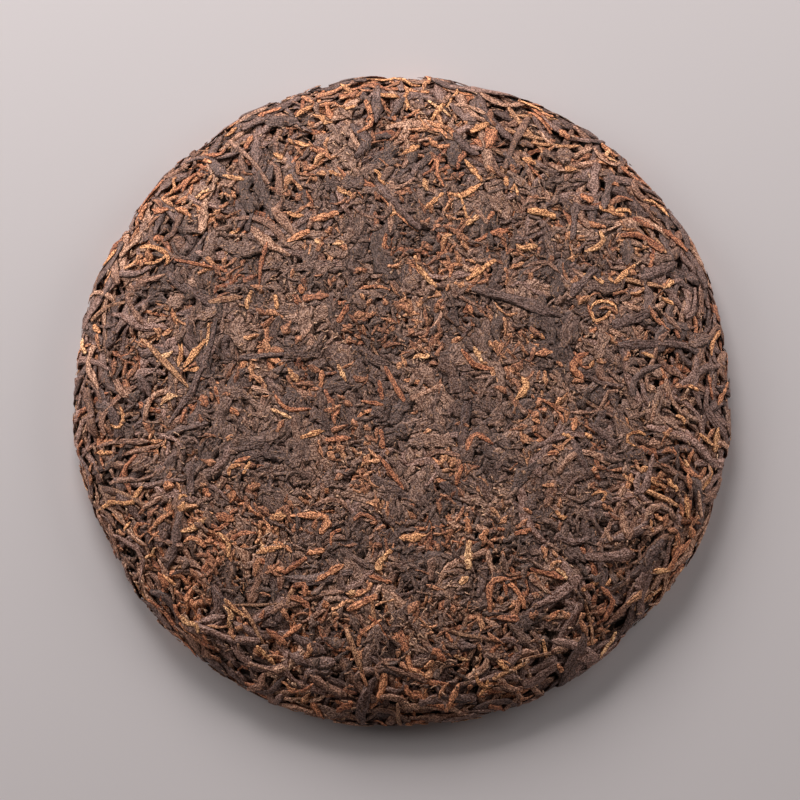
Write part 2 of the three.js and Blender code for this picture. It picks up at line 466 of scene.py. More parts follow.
SEEN_RUSSET = (
    (1.1, 0.3, (175, 260), (212, 267)),
    (1.5, 0.3, (186, 408), (181, 422)),
    (2.4, 0.4, (202, 396), (206, 406)),
    (1.4, 0.5, (229, 542), (240, 534), (257, 533)),
    (1.4, 0.8, (184, 542), (193, 538), (205, 547)),
    (1.5, 0.8, (307, 554), (325, 550)),
    (1.8, 0.8, (316, 581), (343, 565)),
    (2.4, 0.7, (348, 610), (362, 603), (376, 596)),
    (1.5, 0.8, (359, 646), (361, 634), (381, 620)),
    (1.4, 0.6, (287, 690), (301, 691), (313, 683)),
    (1.8, 0.6, (284, 637), (301, 625)),
    (1.8, 0.3, (292, 587), (304, 585), (305, 596)),
    (1.9, 0.8, (324, 601), (327, 608)),
    (1.1, 0.3, (331, 545), (332, 534), (341, 530)),
    (2.1, 0.9, (320, 533), (329, 521)),
    (1.5, 0.2, (284, 573), (306, 558)),
    (1.2, 0.3, (369, 576), (391, 583)),
    (1.5, 0.2, (267, 629), (289, 646)),
    (1.8, 0.9, (467, 518), (469, 532)),
    (1.8, 0.9, (481, 539), (487, 530)),
    (1.5, 0.6, (490, 612), (490, 587), (498, 579), (511, 580)),
    (1.2, 0.3, (504, 583), (508, 601)),
    (2.1, 0.2, (498, 618), (519, 619)),
    (1.5, 0.8, (547, 621), (559, 611)),
    (1.5, 0.8, (446, 712), (459, 685)),
    (1.8, 0.2, (531, 569), (564, 579)),
    (1.5, 0.4, (515, 534), (531, 530)),
    (1.5, 0.8, (558, 665), (562, 672)),
    (2.4, 0.2, (401, 631), (406, 652)),
    (2.4, 0.3, (434, 649), (444, 661)),
    (1.2, 0.3, (446, 632), (452, 642)),
    (1.5, 0.8, (450, 277), (453, 265), (462, 265)),
    (1.8, 0.4, (462, 350), (475, 365), (493, 369)),
    (1.5, 0.8, (322, 371), (321, 387)),
    (1.5, 0.2, (385, 367), (405, 403)),
    (1.5, 0.2, (379, 381), (382, 399)),
    (1.2, 0.4, (362, 401), (383, 405)),
    (1.8, 0.6, (326, 440), (350, 438)),
    (1.5, 0.4, (381, 430), (383, 448)),
    (1.8, 0.2, (379, 456), (403, 489)),
    (1.8, 0.8, (291, 516), (322, 516), (328, 522), (322, 534)),
    (1.5, 0.2, (354, 520), (362, 514), (375, 520)),
    (1.8, 0.4, (456, 485), (462, 465)),
    (1.8, 0.4, (303, 299), (328, 295)),
    (1.8, 0.2, (338, 322), (348, 305)),
    (1.9, 0.8, (300, 285), (302, 293)),
    (1.2, 0.4, (275, 395), (287, 409), (311, 409)),
    (1.8, 0.8, (536, 354), (552, 352)),
    (1.8, 0.6, (532, 416), (546, 409)),
    (1.5, 0.8, (548, 454), (558, 452)),
    (1.5, 0.7, (469, 306), (472, 313)),
    (1.5, 0.4, (467, 450), (475, 434), (493, 444)),
    (2.1, 0.8, (558, 132), (568, 140)),
    (1.8, 0.3, (621, 236), (639, 237), (660, 253)),
    (1.8, 0.2, (660, 232), (683, 253)),
    (1.8, 0.6, (580, 195), (592, 202)),
    (1.5, 0.2, (632, 220), (651, 230)),
    (1.8, 0.8, (541, 114), (552, 118)),
    (2.0, 0.9, (312, 220), (338, 213)),
    (2.0, 0.8, (288, 241), (309, 231)),
    (1.5, 0.8, (246, 150), (253, 138)),
    (1.8, 0.7, (326, 103), (331, 119)),
    (1.5, 0.8, (302, 97), (313, 103)),
    (1.6, 0.6, (260, 118), (282, 110)),
    (1.6, 0.8, (366, 101), (372, 123), (358, 133)),
    (1.7, 0.9, (429, 138), (437, 146), (449, 146)),
    (3.0, 0.5, (495, 131), (486, 148)),
    (1.3, 0.5, (429, 164), (434, 158), (438, 162), (437, 173), (444, 186)),
    (0.8, 0.7, (380, 195), (398, 215), (418, 231)),
    (0.8, 0.4, (527, 164), (541, 179)),
    (1.2, 0.7, (384, 247), (386, 234)),
    (1.5, 0.6, (487, 220), (494, 212)),
    (1.2, 0.5, (648, 305), (657, 319), (669, 331)),
    (1.9, 0.6, (588, 353), (576, 360), (573, 369), (583, 378)),
    (1.6, 0.8, (576, 418), (573, 430)),
    (1.0, 0.4, (708, 375), (711, 400)),
    (1.3, 0.8, (726, 383), (716, 405)),
    (1.4, 0.9, (655, 515), (662, 520)),
    (1.1, 0.6, (687, 474), (689, 490)),
    (1.2, 0.6, (680, 504), (682, 516)),
    (2.4, 0.8, (689, 527), (693, 537)),
    (1.5, 0.7, (594, 467), (595, 473)),
    (1.3, 0.9, (153, 527), (163, 518), (172, 512)),
    (0.9, 0.8, (153, 527), (149, 531), (153, 536), (159, 531)),
    (1.0, 0.7, (149, 525), (137, 525), (134, 532), (138, 539), (144, 534)),
    (1.1, 0.7, (235, 462), (250, 457)),
    (1.8, 0.5, (159, 573), (167, 587)),
    (1.2, 0.7, (237, 505), (246, 504), (252, 511), (259, 516)),
    (2.6, 0.6, (217, 515), (233, 520)),
    (1.8, 0.5, (204, 489), (209, 497)),
    (2.4, 0.9, (165, 486), (173, 486)),
)
SEEN_BROWN = (
    (1.5, 0.5, (126, 295), (133, 310), (143, 324)),
    (1.5, 0.5, (137, 284), (165, 275)),
    (1.5, 0.5, (136, 386), (120, 397), (106, 413), (102, 424), (106, 435)),
    (1.5, 0.5, (95, 448), (116, 442), (151, 442)),
    (1.2, 0.5, (122, 455), (157, 446)),
    (1.2, 0.7, (249, 663), (277, 672)),
    (1.0, 0.4, (379, 679), (376, 667), (386, 660), (399, 660)),
    (1.8, 0.8, (495, 674), (509, 689), (522, 688)),
    (2.4, 0.3, (432, 560), (431, 580)),
    (1.2, 0.8, (531, 579), (552, 595)),
    (1.2, 0.4, (524, 267), (546, 262), (560, 273)),
    (1.2, 0.2, (460, 297), (493, 314)),
    (1.8, 0.8, (411, 399), (442, 385)),
    (1.5, 0.4, (420, 465), (436, 452), (460, 456)),
    (1.5, 0.9, (252, 387), (269, 393)),
    (1.8, 0.9, (573, 157), (590, 150)),
    (1.2, 0.3, (523, 274), (545, 265)),
    (1.2, 0.9, (218, 188), (223, 184), (229, 187), (234, 182)),
    (1.5, 0.6, (229, 142), (254, 163), (268, 184)),
    (1.4, 0.8, (237, 126), (268, 108)),
    (1.0, 0.3, (354, 208), (366, 216), (385, 217)),
    (1.1, 0.6, (389, 188), (402, 186), (414, 178)),
    (1.4, 0.6, (444, 103), (450, 92)),
    (1.3, 0.8, (475, 209), (488, 223)),
    (2.1, 0.2, (528, 118), (514, 144), (505, 168)),
    (1.3, 0.5, (664, 314), (680, 332)),
    (1.1, 0.6, (571, 412), (595, 412), (604, 402), (609, 391), (618, 391)),
    (1.4, 0.8, (666, 379), (669, 396), (682, 414)),
    (1.0, 0.9, (653, 401), (654, 411), (651, 423)),
    (1.3, 0.9, (707, 464), (710, 472), (699, 485), (698, 500), (699, 511), (703, 524)),
    (1.0, 0.9, (641, 528), (651, 527)),
    (1.6, 0.5, (628, 539), (637, 515)),
    (1.3, 0.8, (605, 528), (611, 541)),
    (1.5, 0.8, (704, 527), (697, 546)),
    (1.6, 0.7, (144, 508), (163, 497)),
    (1.4, 0.4, (155, 539), (183, 546)),
    (0.8, 0.8, (237, 514), (249, 525)),
)
SEEN_DARK = (
    (1.5, 0.3, (216, 319), (209, 351), (200, 366), (195, 387), (186, 399), (168, 424)),
    (2.1, 0.3, (167, 434), (207, 422)),
    (2.4, 0.2, (139, 375), (150, 397)),
    (3.3, 0.3, (295, 637), (325, 653)),
    (3.0, 0.2, (473, 289), (511, 299), (560, 316)),
    (1.8, 0.2, (240, 358), (283, 354)),
    (2.1, 0.5, (576, 204), (572, 239)),
    (2.4, 0.3, (568, 299), (596, 267)),
    (2.4, 0.4, (610, 177), (603, 209)),
    (3.3, 0.4, (642, 278), (673, 265)),
    (2.0, 0.3, (378, 88), (376, 122)),
    (2.1, 0.4, (380, 187), (399, 208), (420, 228)),
    (1.8, 0.3, (389, 119), (404, 99)),
    (2.0, 0.8, (451, 104), (465, 117), (475, 120)),
    (2.0, 0.2, (454, 134), (467, 149), (478, 154)),
    (3.2, 0.3, (614, 326), (642, 314)),
    (2.4, 0.2, (619, 345), (655, 344), (680, 345), (697, 352)),
    (2.2, 0.3, (660, 365), (643, 372), (634, 382), (632, 395)),
    (1.3, 0.5, (591, 377), (601, 383), (623, 386)),
    (1.6, 0.7, (642, 384), (646, 400), (651, 405)),
    (1.7, 0.4, (590, 424), (604, 434), (617, 446)),
    (2.0, 0.4, (573, 440), (580, 456), (590, 475)),
    (1.0, 0.9, (563, 496), (577, 477)),
    (1.8, 0.7, (637, 590), (642, 573)),
    (2.6, 0.3, (190, 463), (191, 494)),
    (2.0, 0.8, (213, 471), (225, 459), (228, 447)),
)
SEEN_FLAKES = (
    (3.7, 0.9, (168, 302), (182, 302)),
    (4.3, 0.9, (433, 441), (451, 441)),
    (3.0, 0.6, (404, 444), (422, 444)),
    (4.3, 0.8, (557, 156), (570, 156)),
    (3.0, 0.2, (627, 241), (627, 264)),
    (2.7, 0.8, (642, 260), (668, 260)),
    (2.7, 0.9, (509, 172), (530, 189)),
    (3.5, 0.5, (690, 344), (708, 337)),
    (3.8, 0.2, (268, 124), (296, 122)),
    (4.0, 0.2, (324, 184), (337, 184)),
    (3.6, 0.3, (344, 182), (362, 182)),
    (3.5, 0.8, (135, 468), (151, 461)),
)
SEEN_LEAVES = {
    "stalks": SEEN_STALKS,
    "golden_tips": SEEN_GOLDEN,
    "russet_leaves": SEEN_RUSSET,
    "brown_leaves": SEEN_BROWN,
    "dark_leaves": SEEN_DARK,
    "leaf_flakes": SEEN_FLAKES,
}

LAYERS = 4
SHOULDER_AT = 84.0
MIDDLE_SHORTENING = 0.82
DIRECTION_FIELD = 34.0
DIRECTION_HOLD = 0.5
RIM_TURNS_AT = (84.0, 98.0)
RIM_HOLD = 0.7
RIM_SPREAD = 0.35
TONE_PATCH = 13.0
TONE_PATCHINESS = 1.4
TONE_CHANCE = 0.8
TONE_LEVEL = 3
DIRECTION_LEVEL = 240.0
MOST_TILT = 0.5
MOST_WIDTH = 0.9
SWAY_TURNS = (0.8, 1.6)
SPARE_CHANCES = 3
EDGE_FALL = 3.6
BRIDGING = 0.4
EDGE_SPOTS = np.array([-0.35, 0, 0.35])


def bent_line(form, rng, length):
    """A leaf's middle line in its own plane, and its heading at each ring, bent by chance."""
    t = np.linspace(-1, 1, form.rings)
    turns = math.pi * (t * rng.uniform(*SWAY_TURNS) + rng.random())
    heading = form.bend * rng.normal() * t + form.sway * rng.normal() * np.sin(turns)
    middle = (heading[1:] + heading[:-1]) / 2
    step = length / (form.rings - 1)
    x = np.append(0, np.cumsum(np.cos(middle))) * step
    y = np.append(0, np.cumsum(np.sin(middle))) * step
    return np.stack([x - x.mean(), y - y.mean()], axis=-1), heading


class Pile:
    """All leaves in the order in which they are laid, each on what lies below it."""

    def __init__(self, kinds):
        self.rng = np.random.default_rng(SEED)
        section = Section()
        self.section = section
        self.sides = (Side(section, False), Side(section, True))
        self.kinds = {kind.name: kind for kind in kinds}
        self.laid = {kind.name: [] for kind in kinds}
        for layer in range(LAYERS):
            if layer == LAYERS - 1:
                self.lay_seen_leaves()
            order = [kind for kind in kinds if kind.form.layer == layer for _ in range(kind.count)]
            for index in self.rng.permutation(len(order)):
                self.lay_by_chance(order[index])
        for side in self.sides:
            side.settle()

    def lay_seen_leaves(self):
        """Lays the leaves that stand out in the photo where the photo shows them."""
        side = self.sides[0]
        for name, leaves in SEEN_LEAVES.items():
            kind = self.kinds[name]
            for width, tone, *pixels in leaves:
                places = [side.flat_place(*from_photo(self.section, *pixel)) for pixel in pixels]
                line = along_line(places, kind.form.rings)
                length = np.hypot(*np.diff(line, axis=0).T).sum()
                slope = np.gradient(line, axis=0)
                slope /= np.hypot(*slope.T)[:, None]
                across = np.stack([-slope[:, 1], slope[:, 0]], axis=-1)
                self.lay(kind, side, length, SEEN_WIDENING * width, line, across, SEEN_SINK, tone)

    def spot(self, side, form):
        """Where the next leaf goes: of a few chances, the one where the pile is lowest and, for a kind
        that gathers, where its like are."""
        rng = self.rng
        distances = np.interp(rng.random(SPARE_CHANCES * form.chances), side.area_share, side.spots)
        liked = 0.5 + form.likes_middle * (0.5 - distances / SHOULDER_AT)
        kept = distances[rng.random(len(distances)) < liked][: form.chances]
        distances = kept if len(kept) else distances[:1]
        angles = rng.random(len(distances)) * 2 * math.pi
        flat = np.stack([distances * np.cos(angles), distances * np.sin(angles)], axis=-1)
        cells = side.cell(flat)
        best = np.argmin(side.pile[cells] - form.gathers * side.warmth[cells])
        return flat[best], distances[best], angles[best]

    def lay_by_chance(self, kind):
        """Lays one leaf of a kind somewhere, in a direction that its neighbours tend to share."""
        rng = self.rng
        form = kind.form
        side = self.sides[int(rng.random() < form.on_back)]
        spot, distance, angle = self.spot(side, form)
        shortening = np.interp(distance, (0, SHOULDER_AT), (MIDDLE_SHORTENING, 1))
        length = rng.uniform(*kind.length) * shortening
        width = min(rng.uniform(*kind.width), MOST_WIDTH * length)
        path, heading = bent_line(form, rng, length)
        field = noise.noise(Vector((*spot, DIRECTION_LEVEL * (1 + side.on_back))) / DIRECTION_FIELD)
        turn = 2 * math.pi * (DIRECTION_HOLD * 2 * field + (1 - DIRECTION_HOLD) * rng.random())
        turn += math.pi * rng.integers(2)
        if rng.random() < np.interp(distance, RIM_TURNS_AT, (0, RIM_HOLD)):
            turn = angle + math.pi / 2 + RIM_SPREAD * rng.normal()
        spin = np.array([[math.cos(turn), -math.sin(turn)], [math.sin(turn), math.cos(turn)]])
        across = np.stack([-np.sin(heading + turn), np.cos(heading + turn)], axis=-1)
        outward = np.array([math.cos(angle), math.sin(angle)])
        sideways = np.array([-outward[1], outward[0]])
        to_map = np.outer(outward, outward) + side.squeeze(distance) * np.outer(sideways, sideways)
        line = spot + (path @ spin.T) @ to_map
        patch = noise.noise(Vector((*spot, TONE_PATCH * (TONE_LEVEL + side.on_back))) / TONE_PATCH)
        tone = min(max(0.5 + TONE_CHANCE * (rng.random() - 0.5) + TONE_PATCHINESS * patch, 0), 1)
        self.lay(kind, side, length, width, line, across @ to_map, form.sink, tone)

    def lay(self, kind, side, length, width, line, across, sink, tone):
        """Rests one leaf on the pile, and raises the pile under it."""
        thickness = kind.form.flatness * width
        edges = line[:, None] + across[:, None] * (EDGE_SPOTS * width)[:, None]
        under = side.pile[side.cell(edges)]
        tilt = ((under[:, 2] - under[:, 0]) / (np.ptp(EDGE_SPOTS) * width)).clip(-MOST_TILT, MOST_TILT).mean()
        held = under.max(axis=1)
        wide = np.concatenate([held[:1], held, held[-1:]])
        three = np.stack([wide[:-2], wide[1:-1], wide[2:]])
        rise = (1 - BRIDGING) * three.mean(axis=0) + BRIDGING * three.max(axis=0) + (0.5 - sink) * thickness
        self.raise_pile(side, line, across, rise, width, thickness)
        leaf = Leaf(side.on_back, length, width, thickness, line, across, rise, tilt, tone)
        self.laid[kind.name].append(leaf)

    @staticmethod
    def raise_pile(side, line, across, rise, width, thickness):
        """Raises the pile's map to the top of a leaf."""
        rings = len(line)
        reach = np.hypot(*np.diff(line, axis=0).T).sum()
        spots = np.linspace(0, rings - 1, int(reach / MAP_STEP) + 2)
        low = np.floor(spots).astype(int).clip(0, rings - 2)
        part = (spots - low)[:, None]
        middle = line[low] * (1 - part) + line[low + 1] * part
        aside = across[low] * (1 - part) + across[low + 1] * part
        level = rise[low] * (1 - part[:, 0]) + rise[low + 1] * part[:, 0]
        breadth = np.linspace(-0.5, 0.5, int(width / MAP_STEP) + 2)
        points = middle[:, None] + aside[:, None] * (breadth * width)[:, None]
        heights = level[:, None] + 0.5 * thickness * np.sqrt(1 - EDGE_FALL * breadth**2)
        rows, columns = side.cell(points)
        np.maximum.at(side.pile, (rows.ravel(), columns.ravel()), heights.ravel())


def strip_pattern(sides, rings):
    """Triangles of a closed strip as vertex numbers, and their corners' places in its own map."""
    first_pole = sides * rings
    last_pole = first_pole + 1
    corners = []
    places = []
    for ring in range(rings - 1):
        for side in range(sides):
            after = (side + 1) % sides
            a = ring * sides + side
            b = ring * sides + after
            c = b + sides
            d = a + sides
            low = ring + 1
            corners += [(a, b, c), (a, c, d)]
            places += [((side, low), (side + 1, low), (side + 1, low + 1))]
            places += [((side, low), (side + 1, low + 1), (side, low + 1))]
    for side in range(sides):
        after = (side + 1) % sides
        last = (rings - 1) * sides
        corners.append((first_pole, after, side))
        places.append(((side + 0.5, 0), (side + 1, 1), (side, 1)))
        corners.append((last_pole, last + side, last + after))
        places.append(((side + 0.5, rings + 1), (side, rings), (side + 1, rings)))
    return np.array(corners), np.array(places, float) / (sides, rings + 1)


ISLAND_MARGIN = 0.06
ISLAND_SHAPE = 2.0


def island_map(places, count):
    """Corner places in the unit square, with one rectangle for each of many alike strips."""
    columns = math.ceil(math.sqrt(count * ISLAND_SHAPE))
    rows = math.ceil(count / columns)
    numbers = np.arange(count)
    corner = np.stack([numbers % columns, numbers // columns], axis=-1)[:, None, None]
    inside = ISLAND_MARGIN + (1 - 2 * ISLAND_MARGIN) * places[None]
    return (corner + inside) / (columns, rows)


def make_object(name, points, corners, bake_map, vectors):
    """A smooth object of triangles, with vectors stored by name on its vertices."""
    mesh = bpy.data.meshes.new(name)
    mesh.vertices.add(len(points))
    mesh.vertices.foreach_set("co", (points * MM).astype(np.float32).ravel())
    mesh.loops.add(corners.size)
    mesh.loops.foreach_set("vertex_index", corners.astype(np.int32).ravel())
    mesh.polygons.add(len(corners))
    mesh.polygons.foreach_set("loop_start", np.arange(0, corners.size, 3, dtype=np.int32))
    mesh.update(calc_edges=True)
    mesh.shade_smooth()
    uv_map = mesh.uv_layers.new(name="OFBake")
    uv_map.data.foreach_set("uv", bake_map.astype(np.float32).ravel())
    for title, values in vectors.items():
        layer = mesh.attributes.new(title, "FLOAT_VECTOR", "POINT")
        layer.data.foreach_set("vector", values.astype(np.float32).ravel())
    made = bpy.data.objects.new(name, mesh)
    bpy.context.collection.objects.link(made)
    return made


TWIST = 2.2
TIP_REACH = 0.3
END_VARIES = (0.4, 1.2)
UNEVENNESS = 1.9
GRAIN_SHIFT = 60.0
THIRD_LOBE = 0.7


class Strips:
    """Vertices of all leaves of a kind at once. The arrays' axes are leaf, ring, side and vector."""

    def __init__(self, form, leaves, rng):
        self.form = form
        self.count = len(leaves)
        self.t = np.linspace(-1, 1, form.rings)
        self.turn = np.linspace(0, 2 * math.pi, form.sides, endpoint=False)
        self.length = self.column(leaves, "length")
        self.width = self.column(leaves, "width")
        self.thickness = self.column(leaves, "thickness")
        self.tilt = self.column(leaves, "tilt")
        self.tone = self.column(leaves, "tone")
        self.line = np.array([leaf.line for leaf in leaves])
        self.across = np.array([leaf.across for leaf in leaves])
        self.rise = np.array([leaf.rise for leaf in leaves])
        self.on_back = np.array([leaf.on_back for leaf in leaves])
        girth = self.girth(rng)
        self.u = 0.5 * self.width * girth * np.cos(self.turn)
        self.v = 0.5 * self.thickness * girth * np.sin(self.turn)

    @staticmethod
    def column(leaves, name):
        """One value of each leaf, shaped so that it spreads over the leaf's rings and sides."""
        return np.array([getattr(leaf, name) for leaf in leaves])[:, None, None]

    def girth(self, rng):
        """How far each vertex is from its leaf's middle line, as a share of the leaf's half width."""
        form = self.form
        twist = rng.normal(size=(self.count, 1, 1)) * TWIST * self.t[:, None]
        angle = self.turn + twist
        phase = 2 * math.pi * rng.random((2, self.count, 1, 1))
        girth = 1 + form.lobes * (np.cos(2 * angle + phase[0]) + THIRD_LOBE * np.cos(3 * angle + phase[1]))
        girth *= 1 + form.rough_edge * rng.normal(size=(self.count, form.rings, form.sides))
        girth *= 1 + UNEVENNESS * form.rough_edge * rng.normal(size=(self.count, form.rings, 1))
        ends = form.end * rng.uniform(*END_VARIES, size=(self.count, 2))
        end = np.where(self.t < 0, ends[:, :1], ends[:, 1:])
        taper = end + (1 - end) * (1 - np.abs(self.t) ** form.taper)
        return girth * taper[..., None]

    def map_points(self):
        """Vertices on the map and their heights in the pile."""
        mirror = np.where(self.on_back, -1.0, 1.0)[:, None, None]
        flat = self.line[:, :, None] + self.across[:, :, None] * (self.u * mirror)[..., None]
        height = self.rise[..., None] + self.v + self.tilt * self.u * mirror
        step = self.length[:, 0] / (self.form.rings - 1)
        reach = TIP_REACH * self.form.end * self.width[:, 0] / step
        first = self.line[:, 0] - (self.line[:, 1] - self.line[:, 0]) * reach
        last = self.line[:, -1] + (self.line[:, -1] - self.line[:, -2]) * reach
        poles = np.stack([first, last], axis=1)
        flat = np.concatenate([flat.reshape(self.count, -1, 2), poles], axis=1)
        height = np.concatenate([height.reshape(self.count, -1), self.rise[:, [0, -1]]], axis=1)
        return flat, height

    def grain(self, rng):
        """Straightened place of each vertex in its leaf, shifted so that no two leaves look alike."""
        along = 0.5 * self.length * self.t[:, None]
        rings = np.stack(np.broadcast_arrays(self.u, along, self.v), axis=-1)
        ends = np.zeros((self.count, 2, 3))
        ends[:, 0, 1] = along[:, 0, 0]
        ends[:, 1, 1] = along[:, -1, 0]
        grain = np.concatenate([rings.reshape(self.count, -1, 3), ends], axis=1)
        return grain + GRAIN_SHIFT * rng.random((self.count, 1, 3))

    def tones(self, rng):
        """The leaf's tone, a second chance value, and how near to the leaf's crest each vertex is."""
        tones = np.empty((self.count, self.form.rings * self.form.sides + 2, 3))
        tones[..., 0] = self.tone[:, 0]
        tones[..., 1] = rng.random((self.count, 1))
        tones[..., 2] = np.concatenate([np.tile(np.sin(self.turn), self.form.rings), (0, 0)])
        return tones


def make_leaves(pile, name):
    """One mesh of all leaves of a kind."""
    form = pile.kinds[name].form
    rng = np.random.default_rng([SEED, list(pile.kinds).index(name)])
    strips = Strips(form, pile.laid[name], rng)
    flat, height = strips.map_points()
    points = np.empty((*height.shape, 3))
    for side in pile.sides:
        chosen = strips.on_back == side.on_back
        points[chosen] = side.place(flat[chosen], height[chosen])
    corners, places = strip_pattern(form.sides, form.rings)
    numbers = (np.arange(strips.count) * height.shape[1])[:, None, None] + corners
    vectors = {"grain": strips.grain(rng), "tone": strips.tones(rng)}
    bake_map = island_map(places, strips.count)
    return make_object(name, points.reshape(-1, 3), numbers.reshape(-1, 3), bake_map, vectors)


CORE_ROUND = 220
CORE_STEPS = 80
CORE_DEPTH = 2.1
CORE_RELIEF = 0.5
CORE_GRAIN = 2.6


def make_core(pile):
    """The dark body under the leaves, with a rough skin."""
    section = pile.section
    along = np.linspace(0, section.length, CORE_STEPS + 1)[1:-1]
    turn = np.linspace(0, 2 * math.pi, CORE_ROUND, endpoint=False)
    grid_along, grid_turn = np.meshgrid(along, turn, indexing="ij")
    skin = on_skin(section, grid_along, grid_turn, np.full(grid_along.shape, -CORE_DEPTH))
    relief = np.array([noise.noise(Vector(place / CORE_GRAIN)) for place in skin.reshape(-1, 3)])
    lift = -CORE_DEPTH + CORE_RELIEF * relief.reshape(grid_along.shape)
    points = on_skin(section, grid_along, grid_turn, lift).reshape(-1, 3)
    poles = [(0, 0, CENTRE_HEIGHT - CORE_DEPTH), (0, 0, DIMPLE_DEPTH + CORE_DEPTH)]
    points = np.vstack([points, poles])
    corners, places = strip_pattern(CORE_ROUND, CORE_STEPS - 1)
    bake_map = island_map(places, 1)
    return make_object("cake_core", points, corners, bake_map, {"grain": points})


class Wire:
    """A shader socket, so that shader maths reads as sums. A sum adds its Math node."""

    def __init__(self, tree, socket):
        self.tree = tree
        self.socket = socket

    def maths(self, operation, first, second):
        """The result of a Math node."""
        return self.tree.add("ShaderNodeMath", {"operation": operation}, {0: first, 1: second})

    def __add__(self, other):
        return self.maths("ADD", self, other)

    __radd__ = __add__

    def __mul__(self, other):
        return self.maths("MULTIPLY", self, other)

    __rmul__ = __mul__

    def __sub__(self, other):
        return self.maths("SUBTRACT", self, other)

    def __rsub__(self, other):
        return self.maths("SUBTRACT", other, self)


class Tree:
    """A material's nodes."""

    def __init__(self, name):
        self.material = bpy.data.materials.new(name)
        self.material.use_nodes = True
        self.nodes = self.material.node_tree.nodes
        self.links = self.material.node_tree.links
        self.shader = self.nodes["Principled BSDF"]

    def add(self, kind, settings=None, inputs=None, output=0):
        """Adds a node. Its settings are set first, then its sockets are given values or links."""
        node = self.nodes.new(kind)
        for name, value in (settings or {}).items():
            if name == "stops":
                self.set_stops(node.color_ramp, value)
            else:
                setattr(node, name, value)
        for name, value in (inputs or {}).items():
            self.feed(node.inputs[name], value)
        return Wire(self, node.outputs[output])

    def feed(self, socket, value):
        """Links a wire to a socket, or sets the socket's value."""
        if isinstance(value, Wire):
            self.links.new(value.socket, socket)
        else:
            socket.default_value = value

    @staticmethod
    def set_stops(ramp, stops):
        """Gives a ramp its stops, each a position and a colour."""
        while len(ramp.elements) < len(stops):
            ramp.elements.new(0.5)
        for element, (position, colour) in zip(ramp.elements, stops):
            element.position = position
            element.color = (*colour, 1)

    def ramp(self, value, *stops):
        """The colour that a value has on a ramp."""
        return self.add("ShaderNodeValToRGB", {"stops": stops}, {"Fac": value})

    def blend(self, factor, first, second, mode="MIX"):
        """Mixes two colours."""
        settings = {"data_type": "RGBA", "blend_type": mode}
        return self.add("ShaderNodeMix", settings, {0: factor, 6: first, 7: second}, output=2)

    def noise(self, vector, stretch, detail=2.0, roughness=0.5):
        """Noise from 0 to 1 on a vector stretched by factors for each millimetre."""
        scaled = self.add("ShaderNodeVectorMath", {"operation": "MULTIPLY"}, {0: vector, 1: stretch})
        inputs = {"Vector": scaled, "Scale": 1.0, "Detail": detail, "Roughness": roughness}
        return self.add("ShaderNodeTexNoise", None, inputs)

    def stored(self, name):
        """A vector that the mesh holds under that name."""
        return self.add("ShaderNodeAttribute", {"attribute_name": name}, None, output=1)

    def split(self, vector):
        """The three parts of a vector."""
        node = self.add("ShaderNodeSeparateXYZ", None, {0: vector}).socket.node
        return [Wire(self, socket) for socket in node.outputs]


BLACK = (0.0, 0.0, 0.0)
WHITE = (1.0, 1.0, 1.0)
# Factors on a leaf's colour: each _SHADE is painted shade on its flanks, in its folds or in its pits, and
# each _SHINE a painted highlight or glint on its crest, ridges or grains.
FLANK_SHADE = (0.42, 0.30, 0.25)
CREST_SHINE = (1.12, 1.12, 1.12)
FOLD_SHADE = (0.59, 0.43, 0.35)
RIDGE_SHINE = (1.42, 1.44, 1.47)
PIT_SHADE = (0.46, 0.31, 0.245)
GRAIN_SHINE = (1.74, 1.80, 1.90)
GREY_BLOOM = (0.25, 0.165, 0.135, 1)
TAN_DUST = (0.58, 0.28, 0.12, 1)
LEAF_SPECULAR = 0.44
ROUGHNESS_VARIES = 0.4
LEAF_BUMP = 1.2
DUST_BUMP = 0.6
# The core's near-black colours: partly the dust's own colour, partly painted shade of the deep gaps between
# the leaves.
CORE_DARK = (0.014, 0.007, 0.0045)
CORE_LIGHT = (0.055, 0.028, 0.018)
CORE_ROUGHNESS = 0.9
FLOOR_ROUGHNESS = 0.95
MOST_BLOOM = (0.2, 0.2, 0.2)

# How quickly each noise varies across, along and through a leaf, for each millimetre.
FOLD_GRAIN = (0.9, 0.12, 0.9)
CRUMPLE_GRAIN = (1.35, 0.36, 1.35)
SPECK_GRAIN = (2.4, 1.5, 2.4)
PIT_GRAIN = (2.9, 2.1, 2.9)
PATCH_GRAIN = (0.4, 0.2, 0.4)
CORE_DUST_GRAIN = (0.9, 0.9, 0.9)

# The values of a relief that are darkened most as painted shade, left as they are, and lightened most as a
# painted highlight.
RELIEF_STOPS = (0.38, 0.5, 0.62)

# Where the other ramps start, turn and end.
FLANK_STOPS = (0.02, 0.35, 0.9)
BLOOM_STOPS = (0.55, 0.85)
DUST_STOPS = (0.56, 0.66)
CORE_STOPS = (0.35, 0.6)


